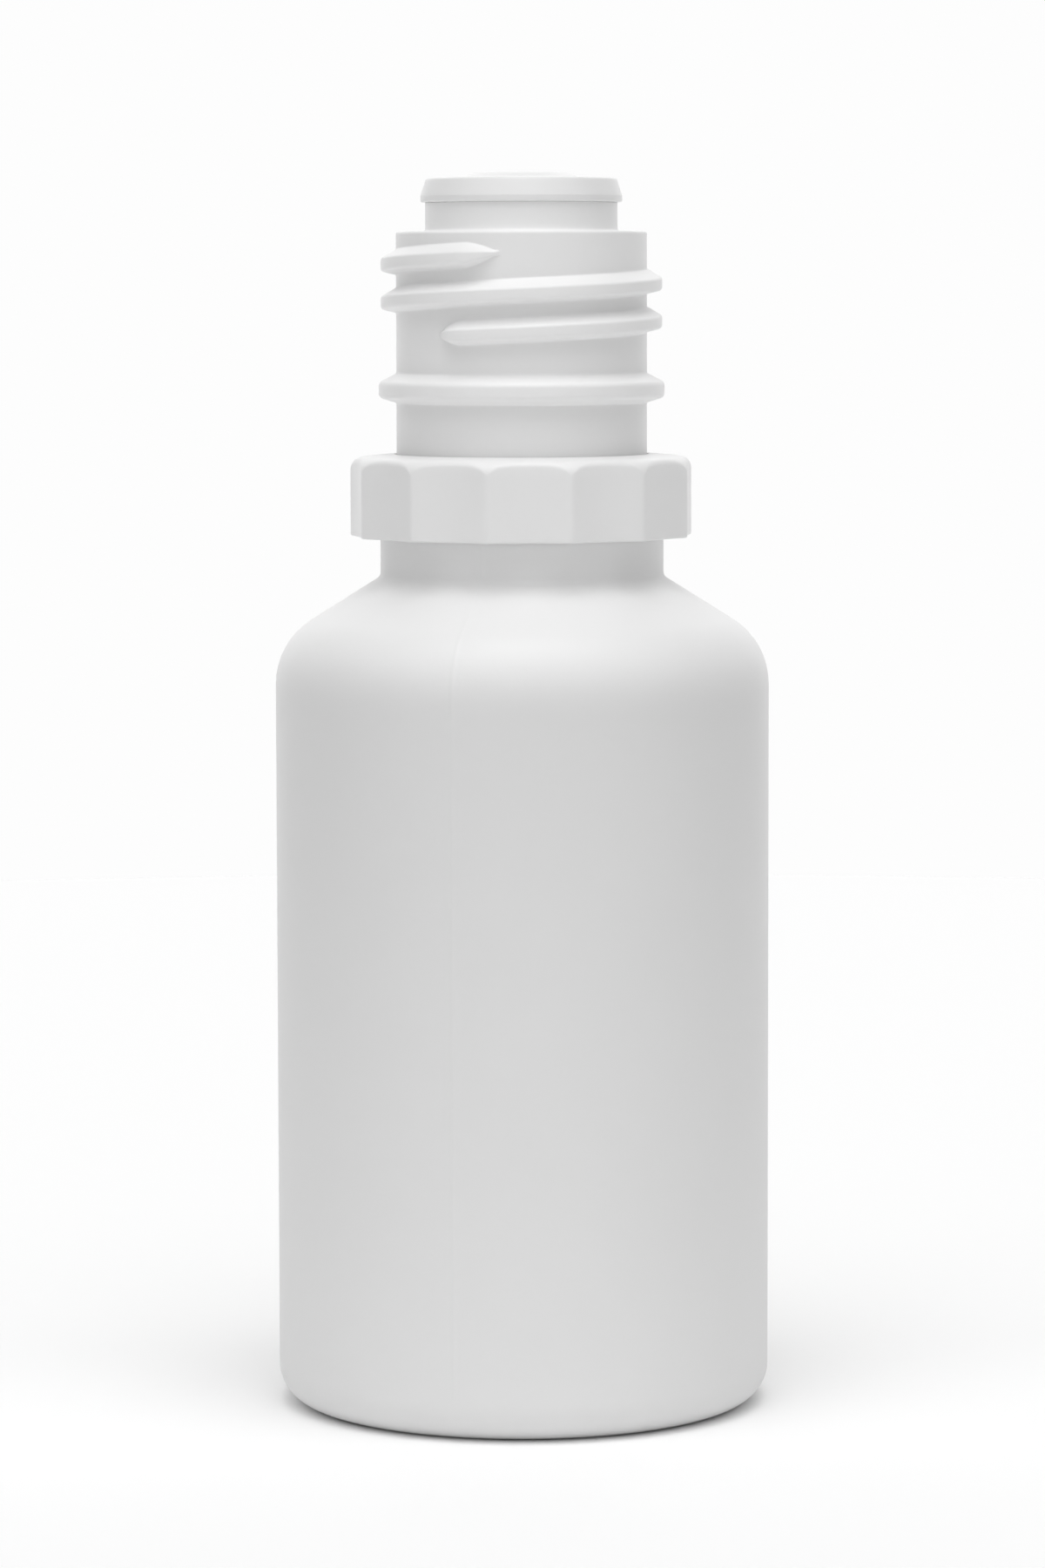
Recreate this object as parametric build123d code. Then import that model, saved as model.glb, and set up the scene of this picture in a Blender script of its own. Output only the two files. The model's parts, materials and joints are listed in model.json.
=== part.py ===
from build123d import *
from math import cos, degrees, pi, radians, sin, sqrt, tan
import os

# A small squeeze dropper bottle: a blow-moulded bottle, a push-in dropper insert and the
# tamper-evident ring that stays on the neck once the cap is off. Millimetres, +Z up.
# The origin is on the axis, in the plane that the bottle stands on. The front faces -Y.

# bottle body
body_radius = 12.5
body_height = 38.78            # where the side wall and the shoulder cone would meet
body_wall = 0.9
heel_radius = 1.9
foot_width = 1.6               # the flat ring that the bottle stands on
push_up_height = 0.8
push_up_run = 1.5              # how far the push-up's slope runs inwards
push_up_rounding = 0.5
floor_wall = 1.0

# shoulder
shoulder_angle = 32.1          # slope of the shoulder cone above the horizontal
shoulder_corner_radius = 3.8
shoulder_foot_fillet = 0.4

# wide lower neck, under the ring
neck_step = 0.84               # how far it stands out past the upper neck
lower_neck_height = 4.27
throat_wall = 1.4
throat_drop = 0.9              # from the neck step down to the top of the throat

# threaded upper neck
neck_radius = 6.33
bore_radius = 3.95
neck_land = 0.51               # plain neck above the thread
edge_radius = 0.15

# retaining bead, above the ring
bead_depth = 0.89              # how far it stands out from the neck
bead_rise = 4.48               # from the neck step up to the bead's underside
bead_underside = 0.28          # height of the bead's lower flank
bead_crest = 0.76
bead_upper_flank = 0.45
bead_rounding = 0.3

# thread
thread_depth = 0.77
thread_pitch = 1.91
thread_turns = 2.075
thread_gap = 1.41              # plain neck between the bead and the thread
thread_start_angle = -126.0    # about +Z from +X, so 36 degrees left of the front
thread_root_half = 0.62
thread_crest_low = 0.44        # crest corners, below and above the middle of the root
thread_crest_high = 0.16
thread_embed = 0.3
run_in_angle = 10.0            # the thread fades in and out over these
run_out_angle = 18.0
fade_steps = 4
fade_tip = 0.05                # share of a fade cut off at its tip, so it ends in a face
fade_narrowing = 0.75          # share of the thread's height lost towards the tip

# narrow lip above the thread
lip_wall = 0.90
lip_height = 1.45

# dropper insert
plug_clearance = 0.03
plug_length = 9.0
plug_relief = 0.15             # how far the plug stands back between its ribs
plug_wall = 1.07
rib_height = 0.6
rib_crest = 0.2
rib_places = (1.6, 4.6)        # rib middles, below the flange
plug_lead_in = 0.5
flange_overhang = 0.24         # past the lip that it sits on
flange_taper = 0.29
flange_height = 1.2
flange_edge = 0.32             # height of the flange's upright edge, under its taper
flange_web = 1.0
boss_radius = 2.85
boss_narrowing = 0.45          # the boss's side leans inwards
boss_height = 0.37
boss_crown = 0.08
boss_rounding = 0.12
drop_hole_radius = 0.4
drop_tube_radius = 1.15
drop_tube_length = 3.0
drip_cup_radius = 0.9
drip_cup_depth = 0.3

# tamper-evident ring
ring_wall = 1.37
ring_clearance = 0.13          # round the bead or the lower neck, whichever is wider
ring_top_slope = 5.0           # the top falls outwards
ring_top_fillet = 0.75
ring_bottom_edge = 0.1
retainer_clearance = 0.12     # round the upper neck
retainer_height = 1.92         # the lip that rests on the neck step, up to the ring's top
retainer_lead_in = 0.2
ring_skirt = 2.25              # below the retaining lip
flute_count = 13
flute_depth = 0.42
flute_phase = -73.7            # one ridge, about +Z from +X

# radii that the sizes above lead to
foot_inner_radius = body_radius - heel_radius - foot_width
lower_neck_radius = neck_radius + neck_step
bead_radius = neck_radius + bead_depth
lip_radius = bore_radius + lip_wall
flange_radius = lip_radius + flange_overhang
ring_bore_radius = max(bead_radius, lower_neck_radius) + ring_clearance
ring_radius = ring_bore_radius + ring_wall

# heights that the sizes above lead to
shoulder_top = body_height + (body_radius - lower_neck_radius) * tan(radians(shoulder_angle))
step_height = shoulder_top + lower_neck_height
bead_low = step_height + bead_rise
bead_top = bead_low + bead_underside + bead_crest + bead_upper_flank
thread_start = bead_top + thread_gap + thread_root_half
neck_top = thread_start + thread_pitch * thread_turns + thread_root_half + neck_land
lip_top = neck_top + lip_height
ring_bottom = step_height - ring_skirt
ring_height = ring_skirt + retainer_height


def turned(corners):
    """A solid turned about Z from (radius, height, corner rounding) points."""
    outline = Polyline([(radius, height) for radius, height, _ in corners], close=True)
    profile = Plane.XZ * make_face(outline)
    for radius, height, rounding in corners:
        if rounding > 0:
            corner = profile.vertices().sort_by_distance((radius, 0, height))[0]
            profile = fillet(corner, rounding)
    return revolve(profile, Axis.Z)


def inner_shoulder(radius):
    """Height of the shoulder cone's inner face at a radius."""
    angle = radians(shoulder_angle)
    return body_height + (body_radius - radius) * tan(angle) - body_wall / cos(angle)


def bottle_outline():
    """The bottle's section, up the outside and back down the inside."""
    bead_crest_low = bead_low + bead_underside
    inner_radius = body_radius - body_wall
    throat_radius = lower_neck_radius - throat_wall
    throat_top = step_height - throat_drop
    push_up_flat = foot_inner_radius - push_up_run
    outside = [
        (0, push_up_height, 0),
        (push_up_flat, push_up_height, push_up_rounding),
        (foot_inner_radius, 0, push_up_rounding),
        (body_radius, 0, heel_radius),
        (body_radius, body_height, shoulder_corner_radius),
        (lower_neck_radius, shoulder_top, shoulder_foot_fillet),
        (lower_neck_radius, step_height, edge_radius),
        (neck_radius, step_height, edge_radius),
        (neck_radius, bead_low, 0),
        (bead_radius, bead_crest_low, bead_rounding),
        (bead_radius, bead_crest_low + bead_crest, bead_rounding),
        (neck_radius, bead_top, 0),
        (neck_radius, neck_top, edge_radius),
        (lip_radius, neck_top, edge_radius),
        (lip_radius, lip_top, 0),
    ]
    inside = [
        (bore_radius, lip_top, edge_radius),
        (bore_radius, throat_top + throat_radius - bore_radius, edge_radius),
        (throat_radius, throat_top, edge_radius),
        (throat_radius, inner_shoulder(throat_radius), edge_radius),
        (inner_radius, inner_shoulder(inner_radius), shoulder_corner_radius - body_wall),
        (inner_radius, floor_wall, heel_radius - body_wall),
        (foot_inner_radius, floor_wall, push_up_rounding),
        (push_up_flat, floor_wall + push_up_height, push_up_rounding),
        (0, floor_wall + push_up_height, 0),
    ]
    return outside + inside


def thread_section(angle, size):
    """The thread's section at an angle past its start; size shrinks it towards its root."""
    crest = neck_radius + thread_depth * size
    root = neck_radius - thread_embed
    lower_slope = (thread_root_half - thread_crest_low) / thread_depth
    upper_slope = (thread_root_half - thread_crest_high) / thread_depth
    corners = [
        (root, -thread_root_half - lower_slope * thread_embed),
        (crest, -thread_crest_low),
        (crest, thread_crest_high),
        (root, thread_root_half + upper_slope * thread_embed),
    ]
    narrowing = 1 - fade_narrowing * (1 - size)
    scaled = [(radius, height * narrowing) for radius, height in corners]
    turn = radians(angle)
    plane = Plane(
        origin=(0, 0, thread_pitch * angle / 360),
        x_dir=(cos(turn), sin(turn), 0),
        z_dir=(sin(turn), -cos(turn), 0),
    )
    return plane * make_face(Polyline(scaled, close=True))


def thread_end(full_angle, tip_angle):
    """The run-in or run-out: the section fades round a quarter of an ellipse."""
    sections = []
    for step in range(fade_steps + 1):
        share = (1 - fade_tip) * step / fade_steps
        angle = full_angle + (tip_angle - full_angle) * share
        sections.append(thread_section(angle, sqrt(1 - share**2)))
    return loft(sections)


def thread():
    """The right-hand thread with a faded run-in and run-out."""
    total_angle = 360 * thread_turns
    full_angle = total_angle - run_in_angle - run_out_angle
    path = Helix(pitch=thread_pitch, height=thread_pitch * full_angle / 360, radius=neck_radius)
    middle = sweep(thread_section(0, 1), path=path, is_frenet=True)
    middle = Pos(0, 0, thread_pitch * run_in_angle / 360) * Rot(0, 0, run_in_angle) * middle
    run_in = thread_end(run_in_angle, 0)
    run_out = thread_end(total_angle - run_out_angle, total_angle)
    placed = Pos(0, 0, thread_start) * Rot(0, 0, thread_start_angle)
    return [placed * piece for piece in (middle, run_in, run_out)]


def bottle():
    """The one-piece bottle, with its thread moulded on the neck."""
    body = turned(bottle_outline())
    for piece in thread():
        body = body + piece
    return body


def dropper_insert():
    """The insert: a flange on the lip, a boss, and a hollow ribbed plug down the bore."""
    plug_radius = bore_radius - plug_clearance
    stem_radius = plug_radius - plug_relief
    flange_top = lip_top + flange_height
    plug_bottom = lip_top - plug_length
    ceiling = flange_top - flange_web
    boss_top = flange_top + boss_height
    head = turned([
        (0, lip_top, 0),
        (flange_radius - edge_radius, lip_top, 0),
        (flange_radius, lip_top + edge_radius, 0),
        (flange_radius, lip_top + flange_edge, 0),
        (flange_radius - flange_taper, flange_top, edge_radius),
        (boss_radius, flange_top, boss_rounding),
        (boss_radius - boss_narrowing, boss_top - boss_crown, boss_rounding),
        (0, boss_top, 0),
    ])
    stem = turned([
        (0, plug_bottom, 0),
        (stem_radius - plug_lead_in, plug_bottom, 0),
        (stem_radius, plug_bottom + plug_lead_in, 0),
        (stem_radius, lip_top, 0),
        (0, lip_top, 0),
    ])
    insert = head + stem
    for place in rib_places:
        middle = lip_top - place
        insert += turned([
            (0, middle - rib_height / 2, 0),
            (stem_radius, middle - rib_height / 2, 0),
            (plug_radius, middle - rib_crest / 2, 0),
            (plug_radius, middle + rib_crest / 2, 0),
            (stem_radius, middle + rib_height / 2, 0),
            (0, middle + rib_height / 2, 0),
        ])
    hollow = turned([
        (drop_tube_radius, ceiling - drop_tube_length, 0),
        (drop_tube_radius, ceiling, edge_radius),
        (stem_radius - plug_wall, ceiling, edge_radius),
        (stem_radius - plug_wall, plug_bottom, 0),
        (0, plug_bottom, 0),
        (0, ceiling - drop_tube_length, 0),
    ])
    drop_hole = Pos(0, 0, (lip_top + boss_top) / 2) * Cylinder(drop_hole_radius, plug_length)
    drip_cup = turned([
        (0, boss_top - drip_cup_depth, 0),
        (drop_hole_radius, boss_top - drip_cup_depth, 0),
        (drip_cup_radius, boss_top, 0),
        (0, boss_top, 0),
    ])
    return insert - hollow - drop_hole - drip_cup


def flute_cutter():
    """One upright cylinder that scoops a shallow flute between two ridges of the ring."""
    half_angle = pi / flute_count
    half_chord = ring_radius * sin(half_angle)
    sagitta = flute_depth - ring_radius * (1 - cos(half_angle))
    scoop_radius = (half_chord**2 + sagitta**2) / (2 * sagitta)
    centre = ring_radius - flute_depth + scoop_radius
    middle = flute_phase + degrees(half_angle)
    cutter = Pos(centre, 0, ring_bottom + ring_height / 2) * Cylinder(scoop_radius, 2 * ring_height)
    return Rot(0, 0, middle) * cutter


def tamper_ring():
    """The fluted ring, with the lip inside that the bead keeps on the neck."""
    retainer_bore = neck_radius + retainer_clearance
    ring_top = ring_bottom + ring_height
    rim_height = ring_top - (ring_radius - retainer_bore) * tan(radians(ring_top_slope))
    ring = turned([
        (ring_bore_radius, ring_bottom, ring_bottom_edge),
        (ring_radius, ring_bottom, ring_bottom_edge),
        (ring_radius, rim_height, ring_top_fillet),
        (retainer_bore, ring_top, ring_bottom_edge),
        (retainer_bore, step_height + retainer_lead_in, 0),
        (retainer_bore + retainer_lead_in, step_height, 0),
        (ring_bore_radius, step_height, 0),
    ])
    cutter = flute_cutter()
    for flute in range(flute_count):
        ring -= Rot(0, 0, 360 * flute / flute_count) * cutter
    return ring


def write_parts():
    """One STEP file for each piece."""
    os.makedirs("parts", exist_ok=True)
    export_step(bottle(), "parts/bottle.step")
    export_step(dropper_insert(), "parts/dropper_insert.step")
    export_step(tamper_ring(), "parts/tamper_ring.step")


write_parts()
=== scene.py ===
import json
from math import atan2, ceil, cos, exp, log, pi, radians, sin, sqrt, tan

import bpy
from mathutils import Matrix, Vector


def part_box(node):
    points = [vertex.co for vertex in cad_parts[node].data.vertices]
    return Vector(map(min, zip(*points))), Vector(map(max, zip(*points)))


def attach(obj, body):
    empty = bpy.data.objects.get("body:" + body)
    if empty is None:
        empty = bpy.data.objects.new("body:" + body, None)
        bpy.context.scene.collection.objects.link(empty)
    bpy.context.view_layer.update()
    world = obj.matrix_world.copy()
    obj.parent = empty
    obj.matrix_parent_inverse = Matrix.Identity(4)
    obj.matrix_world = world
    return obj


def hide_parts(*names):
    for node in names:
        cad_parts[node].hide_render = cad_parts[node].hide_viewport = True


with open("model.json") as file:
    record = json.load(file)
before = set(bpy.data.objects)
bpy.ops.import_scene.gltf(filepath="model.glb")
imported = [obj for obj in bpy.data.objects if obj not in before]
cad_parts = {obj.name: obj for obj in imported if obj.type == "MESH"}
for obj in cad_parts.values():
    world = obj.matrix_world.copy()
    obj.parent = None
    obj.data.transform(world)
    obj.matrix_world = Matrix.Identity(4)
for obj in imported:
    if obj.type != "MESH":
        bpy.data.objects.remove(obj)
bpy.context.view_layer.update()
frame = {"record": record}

# Lengths in this script are millimetres, with heights above the floor. MM turns them into metres.
MM = 0.001

# ---- places and sizes taken from the frame ----
bottle_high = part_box("bottle")[1]
insert_low, insert_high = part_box("dropper_insert")
ring_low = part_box("tamper_ring")[0]
mounts = {mount["name"]: mount["dims"] for mount in frame["record"]["mounts"]}

BODY_RADIUS = mounts["body_wall"]["r_mm"]
LIP_TOP = bottle_high.z / MM
BOSS_TOP = insert_high.z / MM
PLUG_BOTTOM = insert_low.z / MM
RING_BOTTOM = ring_low.z / MM

# ---- bottle ----
WALL = 0.9
FLOOR_WALL = 1.0
HEEL = 1.9
FOOT_INNER_RADIUS = 9.0
FOOT_BLEND = 0.5
PUSH_UP_FLAT = 7.5
PUSH_UP = 0.8
POLE_RADIUS = 0.3
SHOULDER_SLOPE = radians(32.1)
SHOULDER_CORNER = 3.8
LOWER_NECK_RADIUS = 7.17
LOWER_NECK_HEIGHT = 4.27
LOWER_NECK_FILLET = 0.4
NECK_STEP = RING_BOTTOM + 2.25
SHOULDER_TOP = NECK_STEP - LOWER_NECK_HEIGHT
BODY_HEIGHT = SHOULDER_TOP - (BODY_RADIUS - LOWER_NECK_RADIUS) * tan(SHOULDER_SLOPE)
THROAT_RADIUS = 5.75
THROAT_TOP = NECK_STEP - 0.9
NECK_RADIUS = 6.33
NECK_TOP = LIP_TOP - 1.45
BORE_RADIUS = 3.95
LIP_RADIUS = 4.85
LIP_ROUNDING = 0.08
CORNER = 0.15
BEAD_RADIUS = 7.22
BEAD_LOW = NECK_STEP + 4.48
BEAD_CREST_LOW = BEAD_LOW + 0.28
BEAD_CREST_HIGH = BEAD_LOW + 1.04
BEAD_TOP = BEAD_LOW + 1.49
BEAD_FILLET = 0.1
BEAD_CREST_ROUNDING = 0.3

# ---- thread: angles in degrees, heights of its section from the middle of its root ----
PITCH = 1.91
TURNS = 2.083
THREAD_START = BEAD_TOP + 2.03
THREAD_START_ANGLE = -129.5
THREAD_DEPTH = 0.77
ROOT_HALF = 0.62
CREST_LOW = -0.44
CREST_HIGH = 0.16
ROOT_FILLET = 0.12
CREST_ROUNDING = 0.18
ROOT_MARGIN = 0.15
# Over a run-in or run-out the ridge sinks into the neck and shrinks towards its focus, down to the
# NARROWEST share of its height. A higher power makes a blunter end.
RUN_IN = 15.0
RUN_IN_FOCUS = -0.05
RUN_IN_POWER = 2.8
RUN_OUT = 17.0
RUN_OUT_FOCUS = 0.03
RUN_OUT_POWER = 1.6
NARROWEST = 0.25
# The neck between these heights has rows that follow the helix.
THREAD_ZONE_LOW = BEAD_TOP + 0.4
THREAD_ZONE_HIGH = NECK_TOP - 0.35

# ---- parting line of the bottle's mould: angles in degrees ----
PARTING_ANGLES = (-106.0, 74.0)
PARTING_HEIGHT = 0.02
PARTING_WIDTH = 0.12
PARTING_LOW = HEEL
PARTING_TOP = NECK_STEP - 0.2

# ---- dropper insert ----
FLANGE_RADIUS = mounts["tip_flange"]["r_mm"]
FLANGE_EDGE = 0.32
FLANGE_TAPER = 0.29
FLANGE_TOP = LIP_TOP + 1.2
FLANGE_RISE = 0.08
STEM_RADIUS = 3.77
LEAD_IN = 0.5
RIB_RADIUS = 3.92
RIB_DEPTHS = (1.6, 4.6)
RIB_HALF_FOOT = 0.3
RIB_HALF_CREST = 0.1
PLUG_BORE = 2.70
CEILING = FLANGE_TOP - 1.0
BOSS_RADIUS = 2.85
BOSS_NARROWING = 0.45
BOSS_ROUNDING = 0.4
BOSS_EDGE_TOP = BOSS_TOP - 0.08
CUP_EDGE_TOP = BOSS_TOP - 0.01
DROP_TUBE_RADIUS = 1.15
DROP_TUBE_LENGTH = 3.0
DROP_HOLE_RADIUS = 0.40
DRIP_CUP_RADIUS = 0.90
DRIP_CUP_DEPTH = 0.30

# ---- tamper-evident ring: the phase of its flutes in degrees ----
RING_BORE = 7.35
RING_RADIUS = 8.72
RING_TOP = NECK_STEP + 1.92
RING_WALL_START = RING_BOTTOM + 1.0
RING_TOP_SLOPE = radians(5)
RING_FILLET = 0.75
RETAINER_BORE = 6.42
RETAINER_CHAMFER = 0.2
FLUTES = 13
FLUTE_DEPTH = 0.42
FLUTE_PHASE = -73.7
RIDGE_SOFTNESS = 0.08
CREASE_ROUNDING = 0.33

# ---- plastics: darkest and brightest of the cloudy white ----
BODY_WHITE = (0.74, 0.76)
# The shoulder, neck and lip whites are the body's plastic with painted light: lighter for the light
# from above and to lift the shade on the neck and under the flange.
SHOULDER_PAINTED_LIGHT = (0.83, 0.85)
NECK_PAINTED_LIGHT = (0.895, 0.915)
LIP_PAINTED_LIGHT = (0.95, 0.97)
INSERT_WHITE = (0.87, 0.89)
RING_WHITE = (0.85, 0.87)
# Painted light on the bottle: lighter whites higher up, blended in from a height, to a height, the
# whites above. They stand in for the light from above and lift the shade on the neck and on the lip
# under the flange.
PAINTED_LIGHT_BANDS = [(35.5, 39, SHOULDER_PAINTED_LIGHT), (42, 44, NECK_PAINTED_LIGHT), (59.2, 59.8, LIP_PAINTED_LIGHT)]
PLASTIC_IOR = 1.51
# Noises: cycles per metre, detail.
CLOUDS = (160, 4)
SHEEN = (420, 3)
WAVES = (60, 1)
WAVE_HEIGHT = 0.4
GRAIN = (6000, 3)
GRAIN_HEIGHT = 0.03

# ---- studio ----
FLOOR_RADIUS = 250
FLOOR_SIDES = 96
PAPER_WHITE = 0.955
PAPER_ROUGHNESS = 0.7
BACKGROUND = 0.983
LIGHT_EDGE = 1.6
LIGHT_CORE = 0.6
# Soft lights: azimuths (0 in front, 90 to the right), elevation and spread in degrees, strength.
# Each is at full strength inside LIGHT_CORE times its spread and gone past LIGHT_EDGE times it.
TENT_LIGHTS = [
    ((0,), 90, 12, 0.95),
    ((-50, -12, 28, 75), 75, 10, 1.8),
    ((-75, -50, -32), 55, 10, 0.8),
    ((-12, 8), 55, 10, 1.35),
    ((28, 48, 75), 55, 10, 0.9),
    ((-75, -50, -32, -12, 8), 35, 10, 0.7),
    ((28, 48, 75), 35, 10, 0.65),
    ((-50, -32, -12, 8, 28, 48), 12, 10, 0.52),
    ((-110,), 45, 14, 0.5),
    ((110,), 45, 14, 0.25),
    ((-145, 145), 15, 25, 0.75),
    ((180,), 5, 30, 0.8),
    ((180,), 45, 20, 0.2),
]

# ---- camera ----
CAMERA_BACK = 281.54
CAMERA_HEIGHT = 57.26
CAMERA_TILT = radians(5.2223)
CAMERA_TURN = radians(-0.12)
CAMERA_LENS = 127.69
CAMERA_SENSOR = 36

# ---- fineness of the meshes: columns in degrees ----
ARC_STEP = radians(8)
FEWEST_ARC_STEPS = 4
LONGEST_RUN = 2.0
SUPPORT = 0.18
COLUMN_STEP = 2.5
LONE_SHARE = 0.45
CLOSEST_COLUMNS = 0.1
PARTING_STEP = 0.2
PARTING_COLUMNS = 7
THREAD_END_STEP = 0.8
HEIGHT_SNAP = 0.02
FLUTE_COLUMNS = 28
RIDGE_CROWDING = 0.65
CREASE_STEPS = 5
FILLET_STEPS = 10
WALL_STEPS = 6


def rounded(corners, closed=False):
    """(radius, height) points along an outline of (radius, height, rounding) corners."""
    count = len(corners)
    arcs = []
    for index, (radius, height, rounding) in enumerate(corners):
        here = Vector((radius, height))
        if rounding <= 0 or (not closed and index in (0, count - 1)):
            arcs.append([here])
            continue
        to_before = (Vector(corners[index - 1][:2]) - here).normalized()
        to_after = (Vector(corners[(index + 1) % count][:2]) - here).normalized()
        half = to_before.angle(to_after) / 2
        centre = here + (to_before + to_after).normalized() * rounding / sin(half)
        spoke = here + to_before * rounding / tan(half) - centre
        side = to_before.x * to_after.y - to_before.y * to_after.x
        turn = (pi - 2 * half) * (-1 if side > 0 else 1)
        steps = max(FEWEST_ARC_STEPS, ceil(abs(turn) / ARC_STEP))
        turns = [Matrix.Rotation(turn * step / steps, 2) for step in range(steps + 1)]
        arcs.append([centre + each @ spoke for each in turns])
    points = []
    for index, arc in enumerate(arcs):
        points += arc
        if closed or index < count - 1:
            points += between(arc[-1], arcs[(index + 1) % count][0])
    return points


def between(start, end):
    """Points inside a straight run: one close to each end, and more along a long run."""
    length = (end - start).length
    margin = min(SUPPORT, length / 3)
    pieces = max(1, ceil((length - 2 * margin) / LONGEST_RUN))
    shares = [(margin + (length - 2 * margin) * step / pieces) / length for step in range(pieces + 1)]
    return [start.lerp(end, share) for share in shares]


def placed(point, angle):
    """The place in the frame of a (radius, height) point at an angle about +Z from +X."""
    turn = radians(angle)
    return Vector((point[0] * cos(turn), point[0] * sin(turn), point[1])) * MM


def angle_between(first, second):
    """How far the first angle is past the second, from -180 to 180 degrees."""
    return (first - second + 180) % 360 - 180


def even_columns():
    """The angles of evenly spaced columns."""
    return [step * COLUMN_STEP for step in range(round(360 / COLUMN_STEP))]


class Skin:
    """The points and faces of one closed surface, gathered row by row."""

    def __init__(self, columns):
        self.columns = columns
        self.points = []
        self.faces = []

    def point(self, place):
        """Adds a point and gives its number."""
        self.points.append(place)
        return len(self.points) - 1

    def row(self, outline_points):
        """One point for each column."""
        return [self.point(placed(p, a)) for p, a in zip(outline_points, self.columns)]

    def face(self, *corners):
        """A face, without corners that fall together."""
        kept = [c for i, c in enumerate(corners) if c != corners[i - 1]]
        if len(set(kept)) > 2:
            self.faces.append(kept)

    def bridge(self, below, above):
        """The faces between two rows."""
        for index in range(len(below)):
            after = (index + 1) % len(below)
            self.face(below[index], below[after], above[after], above[index])

    def cap(self, row, height, upward):
        """Closes the surface on the axis."""
        pole = self.point(placed((0, height), 0))
        for index in range(len(row)):
            after = (index + 1) % len(row)
            first, second = (index, after) if upward else (after, index)
            self.face(row[first], row[second], pole)

    def make(self, name):
        """The piece that has this surface."""
        mesh = bpy.data.meshes.new(name)
        mesh.from_pydata(self.points, [], self.faces)
        mesh.validate()
        mesh.shade_smooth()
        piece = bpy.data.objects.new(name, mesh)
        bpy.context.scene.collection.objects.link(piece)
        return piece


# ---------------------------------------------------------------- bottle

def bottle_columns():
    """Even columns, with finer ones at the parting lines and at the ends of the thread."""
    fine = []
    for angle in PARTING_ANGLES:
        around = range(-PARTING_COLUMNS, PARTING_COLUMNS + 1)
        fine += [angle + step * PARTING_STEP for step in around]
    thread_end = THREAD_START_ANGLE + 360 * TURNS
    run_in_columns = round(RUN_IN / THREAD_END_STEP) + 2
    run_out_columns = round(RUN_OUT / THREAD_END_STEP) + 2
    fine += [THREAD_START_ANGLE + step * THREAD_END_STEP for step in range(-1, run_in_columns)]
    fine += [thread_end + step * THREAD_END_STEP for step in range(-run_out_columns, 2)]
    kept = []
    for angle in sorted(each % 360 for each in fine):
        if not kept or angle - kept[-1] > CLOSEST_COLUMNS:
            kept.append(angle)
    room = LONE_SHARE * COLUMN_STEP
    lone = [a for a in even_columns() if all(abs(angle_between(a, f)) > room for f in kept)]
    return sorted(kept + lone)


def parting_bump(radius, angle):
    """How far the parting line stands proud at an angle."""
    away = min(abs(angle_between(angle, line)) for line in PARTING_ANGLES)
    return PARTING_HEIGHT * exp(-((radius * radians(away) / PARTING_WIDTH) ** 2))


def bottle_below_thread():
    """The outside, from the middle of the base up to the neck just above the bead."""
    return rounded([
        (POLE_RADIUS, PUSH_UP, 0),
        (PUSH_UP_FLAT, PUSH_UP, FOOT_BLEND),
        (FOOT_INNER_RADIUS, 0, FOOT_BLEND),
        (BODY_RADIUS, 0, HEEL),
        (BODY_RADIUS, BODY_HEIGHT, SHOULDER_CORNER),
        (LOWER_NECK_RADIUS, SHOULDER_TOP, LOWER_NECK_FILLET),
        (LOWER_NECK_RADIUS, NECK_STEP, CORNER),
        (NECK_RADIUS, NECK_STEP, CORNER),
        (NECK_RADIUS, BEAD_LOW, BEAD_FILLET),
        (BEAD_RADIUS, BEAD_CREST_LOW, BEAD_CREST_ROUNDING),
        (BEAD_RADIUS, BEAD_CREST_HIGH, BEAD_CREST_ROUNDING),
        (NECK_RADIUS, BEAD_TOP, CORNER),
        (NECK_RADIUS, THREAD_ZONE_LOW, 0),
    ])


def bottle_above_thread():
    """The top of the neck, the lip, and the inside down to the middle of the floor."""
    inner = BODY_RADIUS - WALL
    offset = WALL / cos(SHOULDER_SLOPE)
    inner_top = BODY_HEIGHT - offset + WALL * tan(SHOULDER_SLOPE)
    throat_foot = BODY_HEIGHT - offset + (BODY_RADIUS - THROAT_RADIUS) * tan(SHOULDER_SLOPE)
    return rounded([
        (NECK_RADIUS, THREAD_ZONE_HIGH, 0),
        (NECK_RADIUS, NECK_TOP, CORNER),
        (LIP_RADIUS, NECK_TOP, CORNER),
        (LIP_RADIUS, LIP_TOP, LIP_ROUNDING),
        (BORE_RADIUS, LIP_TOP, CORNER),
        (BORE_RADIUS, THROAT_TOP + THROAT_RADIUS - BORE_RADIUS, CORNER),
        (THROAT_RADIUS, THROAT_TOP, CORNER),
        (THROAT_RADIUS, throat_foot, CORNER),
        (inner, inner_top, SHOULDER_CORNER - WALL),
        (inner, FLOOR_WALL, HEEL - WALL),
        (FOOT_INNER_RADIUS, FLOOR_WALL, FOOT_BLEND),
        (PUSH_UP_FLAT, FLOOR_WALL + PUSH_UP, FOOT_BLEND),
        (POLE_RADIUS, FLOOR_WALL + PUSH_UP, 0),
    ])


def thread_profile():
    """The full thread's section over one pitch, as (height off the neck, offset) points."""
    return rounded([
        (0, -PITCH / 2, 0),
        (0, -ROOT_HALF, ROOT_FILLET),
        (THREAD_DEPTH, CREST_LOW, CREST_ROUNDING),
        (THREAD_DEPTH, CREST_HIGH, CREST_ROUNDING),
        (0, ROOT_HALF, ROOT_FILLET),
        (0, PITCH / 2, 0),
    ])


def thread_fade(angle):
    """The thread's size and the offset that it shrinks to, at an angle past its start."""
    total = 360 * TURNS
    if angle < RUN_IN:
        share = min(1, (RUN_IN - angle) / RUN_IN)
        return 1 - share**RUN_IN_POWER, RUN_IN_FOCUS
    share = min(1, max(0, angle - total + RUN_OUT) / RUN_OUT)
    return 1 - share**RUN_OUT_POWER, RUN_OUT_FOCUS


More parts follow.
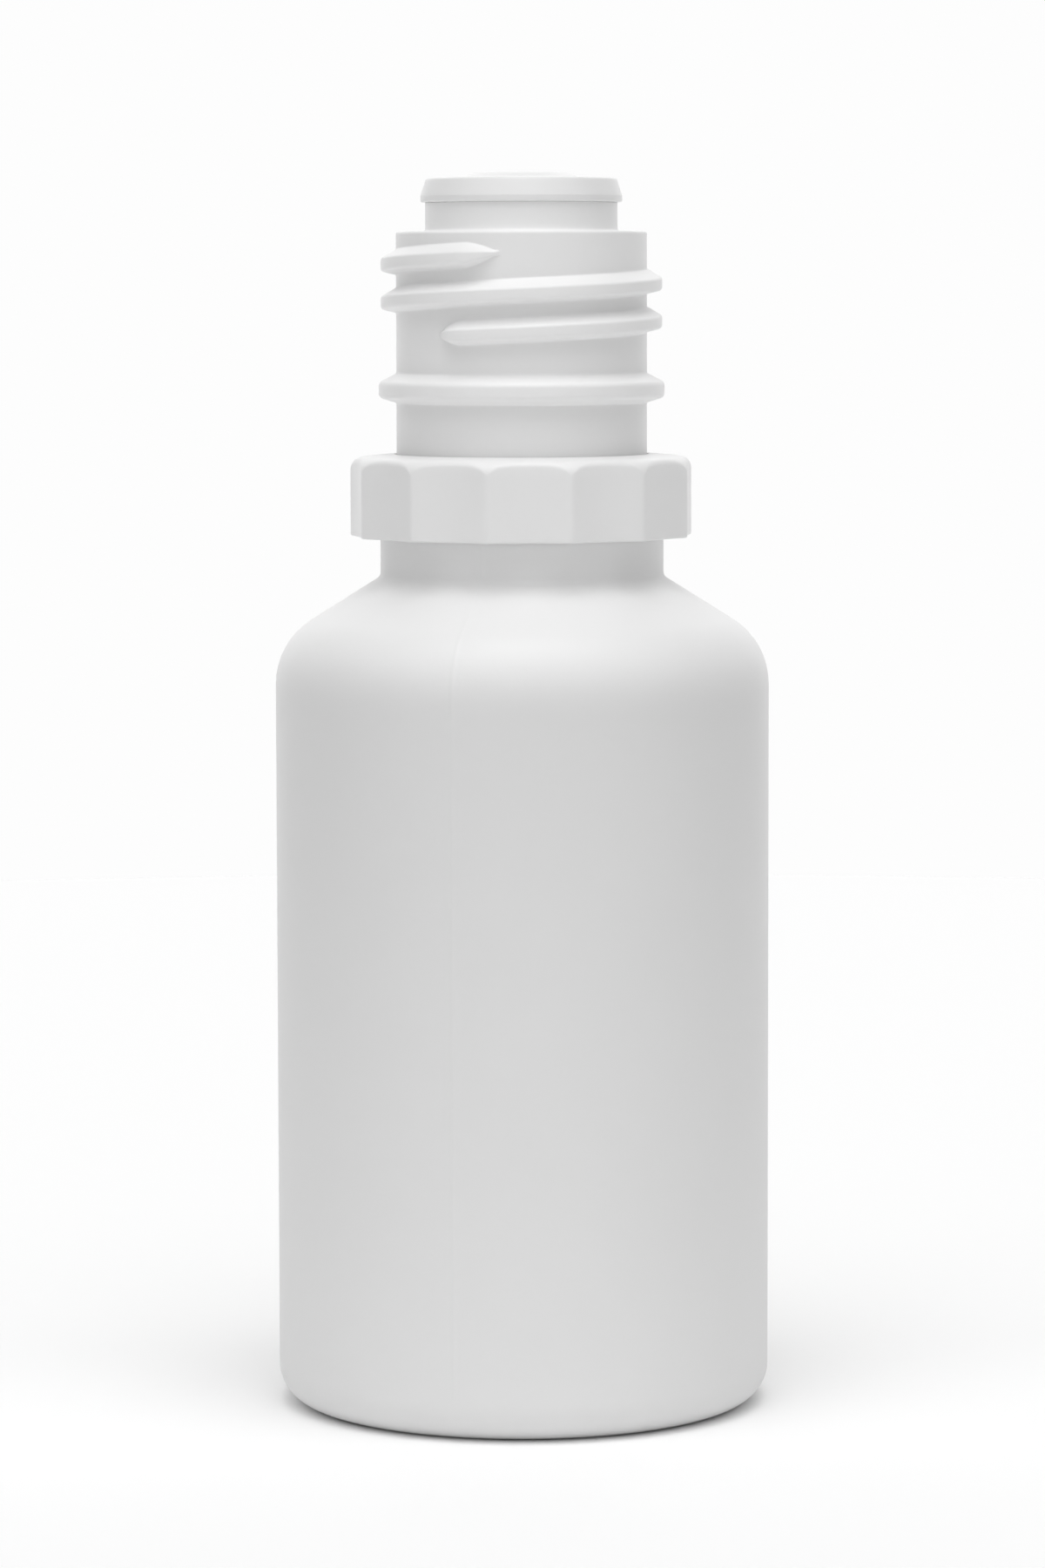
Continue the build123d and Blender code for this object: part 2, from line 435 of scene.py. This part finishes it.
def thread_section(profile, angle):
    """The (radius, height) points of the neck's skin over one pitch at an angle past the start."""
    size, focus = thread_fade(angle)
    narrowing = max(NARROWEST, size)
    middle = THREAD_START + PITCH * angle / 360
    edge = ROOT_HALF + ROOT_MARGIN
    gap = PITCH / 2 - edge
    section = []
    for out, offset in profile:
        held = max(-edge, min(edge, offset))
        bent = focus + (held - focus) * narrowing
        if abs(offset) > edge:
            share = (abs(offset) - edge) / gap
            bent += ((PITCH / 2 if offset > 0 else -PITCH / 2) - bent) * share
        section.append((NECK_RADIUS + out * size, middle + bent))
    return section


def thread_zone(skin, low_row, high_row):
    """The skin between two level rows, with its own rows running along the helix."""
    profile = thread_profile()[:-1]
    count = len(skin.columns)
    start = THREAD_START_ANGLE % 360
    ladder = {}
    first = -2 * count
    last = (ceil(TURNS) + 2) * count
    for index in range(first, last):
        column = index % count
        angle = 360 * (index // count) + skin.columns[column]
        line = []
        for radius, height in thread_section(profile, angle - start):
            if height < THREAD_ZONE_LOW + HEIGHT_SNAP:
                line.append(low_row[column])
            elif height > THREAD_ZONE_HIGH - HEIGHT_SNAP:
                line.append(high_row[column])
            else:
                line.append(skin.point(placed((radius, height), skin.columns[column])))
        ladder[index] = line
    for index in range(first, last - count - 1):
        left = ladder[index] + ladder[index + count][:1]
        right = ladder[index + 1] + ladder[index + 1 + count][:1]
        for step in range(len(profile)):
            skin.face(left[step], right[step], right[step + 1], left[step + 1])


def make_bottle():
    """One closed skin: the outside up to the thread, the thread, then the inside to the floor."""
    skin = Skin(bottle_columns())
    outside = []
    for radius, height in bottle_below_thread():
        proud = PARTING_LOW < height < PARTING_TOP
        bumps = [parting_bump(radius, a) if proud else 0 for a in skin.columns]
        outside.append(skin.row([(radius + bump, height) for bump in bumps]))
    inside = [skin.row([point] * len(skin.columns)) for point in bottle_above_thread()]
    skin.cap(outside[0], PUSH_UP, upward=False)
    for rows in (outside, inside):
        for below, above in zip(rows, rows[1:]):
            skin.bridge(below, above)
    thread_zone(skin, outside[-1], inside[0])
    skin.cap(inside[-1], FLOOR_WALL + PUSH_UP, upward=True)
    return skin.make("squeeze_bottle")


# ---------------------------------------------------------------- dropper insert

def insert_outline():
    """The insert's section, up the outside of the plug and down its inside."""
    corners = [
        (PLUG_BORE, PLUG_BOTTOM, 0.12),
        (STEM_RADIUS - LEAD_IN, PLUG_BOTTOM, 0.12),
        (STEM_RADIUS, PLUG_BOTTOM + LEAD_IN, 0.2),
    ]
    for depth in sorted(RIB_DEPTHS, reverse=True):
        middle = LIP_TOP - depth
        corners += [
            (STEM_RADIUS, middle - RIB_HALF_FOOT, 0.04),
            (RIB_RADIUS, middle - RIB_HALF_CREST, 0.06),
            (RIB_RADIUS, middle + RIB_HALF_CREST, 0.06),
            (STEM_RADIUS, middle + RIB_HALF_FOOT, 0.04),
        ]
    corners += [
        (STEM_RADIUS, LIP_TOP, 0.05),
        (FLANGE_RADIUS, LIP_TOP, 0.12),
        (FLANGE_RADIUS, LIP_TOP + FLANGE_EDGE, 0.12),
        (FLANGE_RADIUS - FLANGE_TAPER, FLANGE_TOP, 0.15),
        (BOSS_RADIUS, FLANGE_TOP + FLANGE_RISE, BOSS_ROUNDING),
        (BOSS_RADIUS - BOSS_NARROWING, BOSS_EDGE_TOP, BOSS_ROUNDING),
        (DRIP_CUP_RADIUS, CUP_EDGE_TOP, 0.08),
        (DROP_HOLE_RADIUS, BOSS_TOP - DRIP_CUP_DEPTH, 0.06),
        (DROP_HOLE_RADIUS, CEILING - DROP_TUBE_LENGTH, 0.06),
        (DROP_TUBE_RADIUS, CEILING - DROP_TUBE_LENGTH, 0.12),
        (DROP_TUBE_RADIUS, CEILING, 0.15),
        (PLUG_BORE, CEILING, 0.15),
    ]
    return rounded(corners, closed=True)


def make_insert():
    skin = Skin(even_columns())
    rows = [skin.row([point] * len(skin.columns)) for point in insert_outline()]
    for below, above in zip(rows, rows[1:] + rows[:1]):
        skin.bridge(below, above)
    return skin.make("dropper_tip")


# ---------------------------------------------------------------- tamper-evident ring

def ring_columns():
    """Columns that crowd together at the ridges between the flutes."""
    half = 180 / FLUTES
    columns = []
    for flute in range(FLUTES):
        middle = FLUTE_PHASE + half * (2 * flute + 1)
        for step in range(FLUTE_COLUMNS):
            even = step / FLUTE_COLUMNS * 2 - 1
            crowded = (1 - RIDGE_CROWDING) * even + RIDGE_CROWDING * sin(pi / 2 * even)
            columns.append(middle + half * sin(pi / 2 * crowded))
    return columns


def flute_radius(angle):
    """The fluted wall's radius at an angle: shallow scoops that meet in soft ridges."""
    half = pi / FLUTES
    half_chord = RING_RADIUS * sin(half)
    sagitta = FLUTE_DEPTH - RING_RADIUS * (1 - cos(half))
    scoop = (half_chord**2 + sagitta**2) / (2 * sagitta)
    centre = RING_RADIUS - FLUTE_DEPTH + scoop
    past_ridge = radians(angle - FLUTE_PHASE) % (2 * half)
    total = 0
    for away in (past_ridge - half, past_ridge + half, past_ridge - 3 * half):
        reach = scoop**2 - (centre * sin(away)) ** 2
        if reach > 0:
            total += exp(-(centre * cos(away) - sqrt(reach) - RING_RADIUS) / RIDGE_SOFTNESS)
    return RING_RADIUS - RIDGE_SOFTNESS * log(total / 2)


def ring_shoulder(wall):
    """The rounded top outer edge, from the wall up and in to the sloping top.

    All columns share one large fillet. In a flute a small arc leads from the wall into it."""
    edge_height = RING_TOP - (RING_RADIUS - RETAINER_BORE) * tan(RING_TOP_SLOPE)
    fall = RING_FILLET / cos(RING_TOP_SLOPE) - RING_FILLET * tan(RING_TOP_SLOPE)
    centre = Vector((RING_RADIUS - RING_FILLET, edge_height - fall))
    small_x = wall - CREASE_ROUNDING - centre.x
    small_y = sqrt(max(0, (RING_FILLET - CREASE_ROUNDING) ** 2 - small_x**2))
    small = centre + Vector((small_x, small_y))
    crease = atan2(small_y, small_x)
    points = []
    for step in range(CREASE_STEPS + 1):
        angle = crease * step / CREASE_STEPS
        points.append(small + CREASE_ROUNDING * Vector((cos(angle), sin(angle))))
    for step in range(1, FILLET_STEPS + 1):
        angle = crease + (pi / 2 - RING_TOP_SLOPE - crease) * step / FILLET_STEPS
        points.append(centre + RING_FILLET * Vector((cos(angle), sin(angle))))
    return points


def ring_section(angle):
    """The ring's section in one column, up the fluted wall and down the bore."""
    wall = flute_radius(angle)
    foot = rounded([
        (RETAINER_BORE + RETAINER_CHAMFER, NECK_STEP, 0),
        (RING_BORE, NECK_STEP, 0.08),
        (RING_BORE, RING_BOTTOM, 0.1),
        (wall, RING_BOTTOM, 0.12),
        (wall, RING_WALL_START, 0),
    ])
    shoulder = ring_shoulder(wall)
    bore = rounded([
        tuple(shoulder[-1]) + (0,),
        (RETAINER_BORE, RING_TOP, 0.05),
        (RETAINER_BORE, NECK_STEP + RETAINER_CHAMFER, 0.05),
        (RETAINER_BORE + RETAINER_CHAMFER, NECK_STEP, 0),
    ])
    rise = [foot[-1].lerp(shoulder[0], step / WALL_STEPS) for step in range(1, WALL_STEPS)]
    return foot + rise + shoulder + bore[1:-1]


def make_ring():
    skin = Skin(ring_columns())
    sections = [ring_section(angle) for angle in skin.columns]
    rows = [skin.row(points) for points in zip(*sections)]
    for below, above in zip(rows, rows[1:] + rows[:1]):
        skin.bridge(below, above)
    return skin.make("fluted_ring")


# ---------------------------------------------------------------- materials

def plastic(name, white, roughness, grain, waviness, painted_light=()):
    """White moulded plastic: cloudy whites, uneven sheen, a fine grain and soft waves.

    The last argument lists bands of painted light where the whites change with height: (from, to, the
    whites above).
    The lighter whites higher up stand in for the light from above and lift the shade on the neck and
    on the lip under the flange."""
    material = bpy.data.materials.new(name)
    material.use_nodes = True
    nodes, links = material.node_tree.nodes, material.node_tree.links
    shader = nodes["Principled BSDF"]
    shader.inputs["IOR"].default_value = PLASTIC_IOR
    place = nodes.new("ShaderNodeTexCoord")

    def noise(scale, detail):
        node = nodes.new("ShaderNodeTexNoise")
        node.inputs["Scale"].default_value = scale
        node.inputs["Detail"].default_value = detail
        links.new(place.outputs["Object"], node.inputs["Vector"])
        return node.outputs["Fac"]

    def cloudy(low, high):
        node = nodes.new("ShaderNodeMix")
        node.data_type = "RGBA"
        node.inputs["A"].default_value = (low, low, low, 1)
        node.inputs["B"].default_value = (high, high, high, 1)
        links.new(noise(*CLOUDS), node.inputs["Factor"])
        return node.outputs["Result"]

    def bump(texture, height, strength):
        node = nodes.new("ShaderNodeBump")
        node.inputs["Strength"].default_value = strength
        node.inputs["Distance"].default_value = height * MM
        links.new(noise(*texture), node.inputs["Height"])
        return node

    whites = cloudy(*white)
    # Painted light: lighter whites blended in by height, band by band.
    if painted_light:
        split = nodes.new("ShaderNodeSeparateXYZ")
        links.new(place.outputs["Object"], split.inputs["Vector"])
    for from_height, to_height, painted_white in painted_light:
        rise = nodes.new("ShaderNodeMapRange")
        rise.interpolation_type = "SMOOTHSTEP"
        rise.inputs["From Min"].default_value = from_height * MM
        rise.inputs["From Max"].default_value = to_height * MM
        links.new(split.outputs["Z"], rise.inputs["Value"])
        blend = nodes.new("ShaderNodeMix")
        blend.data_type = "RGBA"
        links.new(rise.outputs["Result"], blend.inputs["Factor"])
        links.new(whites, blend.inputs["A"])
        links.new(cloudy(*painted_white), blend.inputs["B"])
        whites = blend.outputs["Result"]
    links.new(whites, shader.inputs["Base Color"])

    sheen = nodes.new("ShaderNodeMapRange")
    sheen.inputs["To Min"].default_value = roughness[0]
    sheen.inputs["To Max"].default_value = roughness[1]
    links.new(noise(*SHEEN), sheen.inputs["Value"])
    links.new(sheen.outputs["Result"], shader.inputs["Roughness"])

    waves = bump(WAVES, WAVE_HEIGHT, waviness)
    fine = bump(GRAIN, GRAIN_HEIGHT, grain)
    links.new(waves.outputs["Normal"], fine.inputs["Normal"])
    links.new(fine.outputs["Normal"], shader.inputs["Normal"])
    return material


def paper():
    """Near-white paper for the floor, without a shine."""
    material = bpy.data.materials.new("studio_paper")
    material.use_nodes = True
    shader = material.node_tree.nodes["Principled BSDF"]
    shader.inputs["Base Color"].default_value = (PAPER_WHITE, PAPER_WHITE, PAPER_WHITE, 1)
    shader.inputs["Roughness"].default_value = PAPER_ROUGHNESS
    shader.inputs["Specular IOR Level"].default_value = 0
    return material


def dress(piece, body, node, material):
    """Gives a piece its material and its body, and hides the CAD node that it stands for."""
    piece.data.materials.append(material)
    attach(piece, body)
    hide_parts(node)


# ---------------------------------------------------------------- studio

def make_floor():
    """A round table top under the bottle, as bright as the background behind it."""
    mesh = bpy.data.meshes.new("floor")
    rim = [placed((FLOOR_RADIUS, 0), 360 * step / FLOOR_SIDES) for step in range(FLOOR_SIDES)]
    mesh.from_pydata(rim, [], [range(FLOOR_SIDES)])
    floor = bpy.data.objects.new("floor", mesh)
    bpy.context.scene.collection.objects.link(floor)
    mesh.materials.append(paper())


def make_world():
    """A tent of soft lights. The camera sees it as one plain pale background."""
    world = bpy.data.worlds.new("white_tent")
    bpy.context.scene.world = world
    world.use_nodes = True
    nodes, links = world.node_tree.nodes, world.node_tree.links
    background = nodes["Background"]
    background.inputs["Color"].default_value = (1, 1, 1, 1)
    place = nodes.new("ShaderNodeTexCoord")
    lit = None
    lights = [(azimuth, *rest) for azimuths, *rest in TENT_LIGHTS for azimuth in azimuths]
    for azimuth, elevation, spread, strength in lights:
        around, up = radians(azimuth), radians(elevation)
        facing = nodes.new("ShaderNodeVectorMath")
        facing.operation = "DOT_PRODUCT"
        facing.inputs[1].default_value = (sin(around) * cos(up), -cos(around) * cos(up), sin(up))
        links.new(place.outputs["Generated"], facing.inputs[0])
        glow = nodes.new("ShaderNodeMapRange")
        glow.interpolation_type = "SMOOTHSTEP"
        glow.inputs["From Min"].default_value = cos(radians(spread * LIGHT_EDGE))
        glow.inputs["From Max"].default_value = cos(radians(spread * LIGHT_CORE))
        glow.inputs["To Max"].default_value = strength
        links.new(facing.outputs["Value"], glow.inputs["Value"])
        if lit is None:
            lit = glow.outputs["Result"]
            continue
        added = nodes.new("ShaderNodeMath")
        links.new(lit, added.inputs[0])
        links.new(glow.outputs["Result"], added.inputs[1])
        lit = added.outputs["Value"]
    path = nodes.new("ShaderNodeLightPath")
    seen = nodes.new("ShaderNodeMix")
    links.new(path.outputs["Is Camera Ray"], seen.inputs["Factor"])
    links.new(lit, seen.inputs["A"])
    seen.inputs["B"].default_value = BACKGROUND
    links.new(seen.outputs["Result"], background.inputs["Strength"])


def make_camera():
    """A long lens in front of the bottle, about as high as its thread and tilted down."""
    data = bpy.data.cameras.new("camera")
    data.lens = CAMERA_LENS
    data.sensor_width = CAMERA_SENSOR
    camera = bpy.data.objects.new("camera", data)
    camera.location = (0, -CAMERA_BACK * MM, CAMERA_HEIGHT * MM)
    camera.rotation_mode = "ZXY"
    camera.rotation_euler = (pi / 2 - CAMERA_TILT, 0, CAMERA_TURN)
    bpy.context.scene.collection.objects.link(camera)
    bpy.context.scene.camera = camera


make_camera()
# The bottle's plastic carries painted light: lighter whites on the shoulder, the neck and the lip.
dress(
    make_bottle(), "bottle", "bottle",
    plastic(
        "blown_polyethylene", BODY_WHITE,
        roughness=(0.42, 0.5), grain=0.12, waviness=0.05, painted_light=PAINTED_LIGHT_BANDS,
    ),
)
dress(
    make_insert(), "insert", "dropper_insert",
    plastic(
        "insert_polyethylene", INSERT_WHITE, roughness=(0.36, 0.44), grain=0.08, waviness=0.02,
    ),
)
dress(
    make_ring(), "ring", "tamper_ring",
    plastic("ring_polyethylene", RING_WHITE, roughness=(0.38, 0.46), grain=0.10, waviness=0.02),
)
make_floor()
make_world()
bpy.context.scene.view_settings.view_transform = "Standard"
